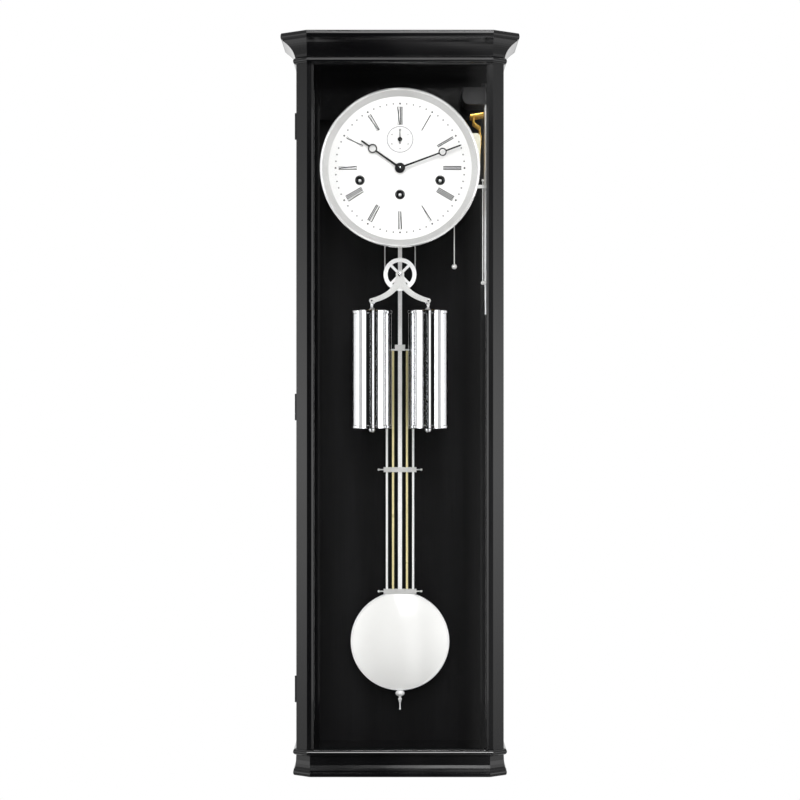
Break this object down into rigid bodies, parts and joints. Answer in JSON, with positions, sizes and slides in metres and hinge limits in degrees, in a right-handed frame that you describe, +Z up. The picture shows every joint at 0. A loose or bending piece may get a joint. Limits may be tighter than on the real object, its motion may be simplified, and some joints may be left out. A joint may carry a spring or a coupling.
{
  "type": "wall regulator clock",
  "caption": "Wall-hung regulator clock: glazed case with a hinged door, round dial, cable-driven twin weights, gridiron pendulum and rod chimes.",
  "frame": {"origin": "centre of the hanger hole on the back plane, where the wall hook holds the clock", "axes": "+Z up, +Y into the wall, -Y out of the dial, +X to the viewer's right"},
  "size_m": [0.361, 0.189, 1.12],
  "materials": {
    "ebonised_wood": "satin black lacquer over hardwood",
    "back_veneer": "matt black veneer with fine vertical grain",
    "clear_glass": "clear float glass",
    "black_hinge": "black coated steel",
    "zinc_steel": "zinc plated",
    "dial_enamel": "satin white enamel",
    "silvered_ring": "satin silver",
    "polished_chrome": "mirror polish",
    "black_bush": "gloss black",
    "hand_black": "satin black",
    "clock_brass": "polished and lacquered",
    "rod_brass": "polished pale brass",
    "satin_nickel": "satin nickel plate",
    "cable_steel": "stranded steel",
    "bob_nickel": "polished nickel disc",
    "gong_iron": "black enamel",
    "gong_steel": "bright drawn steel",
    "bracket_steel": "black coated steel"
  },
  "bodies": {
    "case": {"back_panel": "back_veneer", "hanging_rail": "ebonised_wood", "hanger_plate": "zinc_steel", "case_screws": "zinc_steel", "front_posts": "ebonised_wood", "rear_posts": "ebonised_wood", "side_glass": "clear_glass", "top_board": "ebonised_wood", "cornice": "ebonised_wood", "bottom_board": "ebonised_wood", "base_moulding": "ebonised_wood", "hinge_case_leaves": "black_hinge", "dial_disc": "dial_enamel", "dial_ring": "silvered_ring", "bezel": "polished_chrome", "winding_grommets": "black_bush", "front_plate": "clock_brass", "back_plate": "clock_brass", "pillars": "clock_brass", "brackets": "bracket_steel", "spring_barrels": "clock_brass", "gong_block": "gong_iron", "gong_rods": "gong_steel", "hammer_rail": "satin_nickel", "cable_run_left": "cable_steel", "cable_run_right": "cable_steel"},
    "door": {"door_stiles": "ebonised_wood", "door_rails": "ebonised_wood", "door_glass": "clear_glass", "glass_stops": "ebonised_wood", "hinge_door_leaves": "black_hinge"},
    "minute_work": {"minute_hand": "hand_black", "cannon_pinion": "clock_brass"},
    "hour_work": {"hour_hand": "hand_black", "hour_wheel": "clock_brass"},
    "motion_wheel": {"minute_wheel": "clock_brass"},
    "escape_work": {"escape_wheel": "clock_brass", "second_hand": "hand_black"},
    "third_work": {"third_wheel": "clock_brass"},
    "centre_work": {"centre_wheel": "clock_brass"},
    "anchor": {"anchor_crutch": "satin_nickel"},
    "pendulum": {"pendulum_bar": "satin_nickel", "brass_rods": "rod_brass", "steel_rods": "polished_chrome", "pendulum_bridges": "satin_nickel", "bob": "bob_nickel", "bob_rim": "polished_chrome", "rating_nut": "satin_nickel"},
    "drum": {"cable_drum": "clock_brass"},
    "carriage": {"yoke": "satin_nickel", "cable_loop": "cable_steel"},
    "pulley_wheel": {"pulley": "polished_chrome"},
    "left_weight": {"weight_left": "polished_chrome"},
    "right_weight": {"weight_right": "polished_chrome"},
    "hammer_a": {"hammer_1": "clock_brass"},
    "hammer_b": {"hammer_2": "clock_brass"},
    "hammer_c": {"hammer_3": "clock_brass"},
    "hammer_d": {"hammer_4": "clock_brass"},
    "right_pull": {"pull_right": "cable_steel"},
    "left_pull": {"pull_left": "cable_steel"}
  },
  "joints": [
    {"name": "door_hinge", "type": "hinge", "parent": "case", "child": "door", "pos_m": [-0.1572, -0.1427, -0.474], "axis": [0, 0, -1], "range_deg": [0, 95]},
    {"name": "minute_turn", "type": "hinge", "parent": "case", "child": "minute_work", "pos_m": [0, -0.124, -0.1106], "axis": [0, 1, 0], "continuous": true},
    {"name": "hour_turn", "type": "hinge", "parent": "case", "child": "hour_work", "pos_m": [0, -0.121, -0.1106], "axis": [0, 1, 0], "continuous": true},
    {"name": "motion_wheel_turn", "type": "hinge", "parent": "case", "child": "motion_wheel", "pos_m": [-0.01399, -0.102, -0.12193], "axis": [0, 1, 0], "continuous": true},
    {"name": "escape_turn", "type": "hinge", "parent": "case", "child": "escape_work", "pos_m": [0, -0.057, -0.067], "axis": [0, 1, 0], "continuous": true},
    {"name": "third_turn", "type": "hinge", "parent": "case", "child": "third_work", "pos_m": [0.01332, -0.05, -0.084], "axis": [0, 1, 0], "continuous": true},
    {"name": "centre_turn", "type": "hinge", "parent": "case", "child": "centre_work", "pos_m": [0, -0.053, -0.1106], "axis": [0, 1, 0], "continuous": true},
    {"name": "pendulum_swing", "type": "hinge", "parent": "case", "child": "pendulum", "pos_m": [0, -0.03, -0.045], "axis": [0, 1, 0], "range_deg": [-3, 3]},
    {"name": "anchor_swing", "type": "hinge", "parent": "case", "child": "anchor", "pos_m": [0, -0.057, -0.045], "axis": [0, 1, 0], "range_deg": [-3, 3]},
    {"name": "weight_drop", "type": "slide", "parent": "case", "child": "carriage", "axis": [0, 0, -1], "range_m": [-0.008, 0.44], "deforming": ["cable_run_left", "cable_run_right"]},
    {"name": "pulley_turn", "type": "hinge", "parent": "carriage", "child": "pulley_wheel", "pos_m": [0, -0.082, -0.2707], "axis": [0, 1, 0], "range_deg": [-25, 1090]},
    {"name": "drum_turn", "type": "hinge", "parent": "case", "child": "drum", "pos_m": [0, -0.082, -0.1509], "axis": [0, 1, 0], "range_deg": [-50, 2175]},
    {"name": "left_weight_swing", "type": "hinge", "parent": "carriage", "child": "left_weight", "pos_m": [-0.0433, -0.082, -0.3112], "axis": [0, 1, 0], "range_deg": [-2.5, 2.5]},
    {"name": "right_weight_swing", "type": "hinge", "parent": "carriage", "child": "right_weight", "pos_m": [0.0433, -0.082, -0.3112], "axis": [0, 1, 0], "range_deg": [-2.5, 2.5]},
    {"name": "hammer_a_strike", "type": "hinge", "parent": "case", "child": "hammer_a", "pos_m": [0.118, -0.105, -0.105], "axis": [0, 1, 0], "range_deg": [-12, 1], "stiffness_Nm_per_rad": 0.05},
    {"name": "hammer_b_strike", "type": "hinge", "parent": "case", "child": "hammer_b", "pos_m": [0.118, -0.09, -0.105], "axis": [0, 1, 0], "range_deg": [-12, 1], "stiffness_Nm_per_rad": 0.05},
    {"name": "hammer_c_strike", "type": "hinge", "parent": "case", "child": "hammer_c", "pos_m": [0.118, -0.075, -0.105], "axis": [0, 1, 0], "range_deg": [-12, 1], "stiffness_Nm_per_rad": 0.05},
    {"name": "hammer_d_strike", "type": "hinge", "parent": "case", "child": "hammer_d", "pos_m": [0.118, -0.06, -0.105], "axis": [0, 1, 0], "range_deg": [-12, 1], "stiffness_Nm_per_rad": 0.05},
    {"name": "right_pull_slide", "type": "slide", "parent": "case", "child": "right_pull", "axis": [0, 0, -1], "range_m": [0, 0.004], "stiffness_N_per_m": 300, "springref_m": -0.002},
    {"name": "left_pull_slide", "type": "slide", "parent": "case", "child": "left_pull", "axis": [0, 0, -1], "range_m": [0, 0.005], "stiffness_N_per_m": 300, "springref_m": -0.002}
  ],
  "couplings": [
    {"joint": "hour_turn", "follows": "minute_turn", "ratio": 0.083333},
    {"joint": "motion_wheel_turn", "follows": "minute_turn", "ratio": -0.33333},
    {"joint": "third_turn", "follows": "escape_turn", "ratio": -0.125},
    {"joint": "centre_turn", "follows": "escape_turn", "ratio": 0.016667},
    {"joint": "anchor_swing", "follows": "pendulum_swing", "ratio": 1},
    {"joint": "pulley_turn", "follows": "weight_drop", "rad_per_m": 43.103},
    {"joint": "drum_turn", "follows": "weight_drop", "rad_per_m": 86.207}
  ]
}
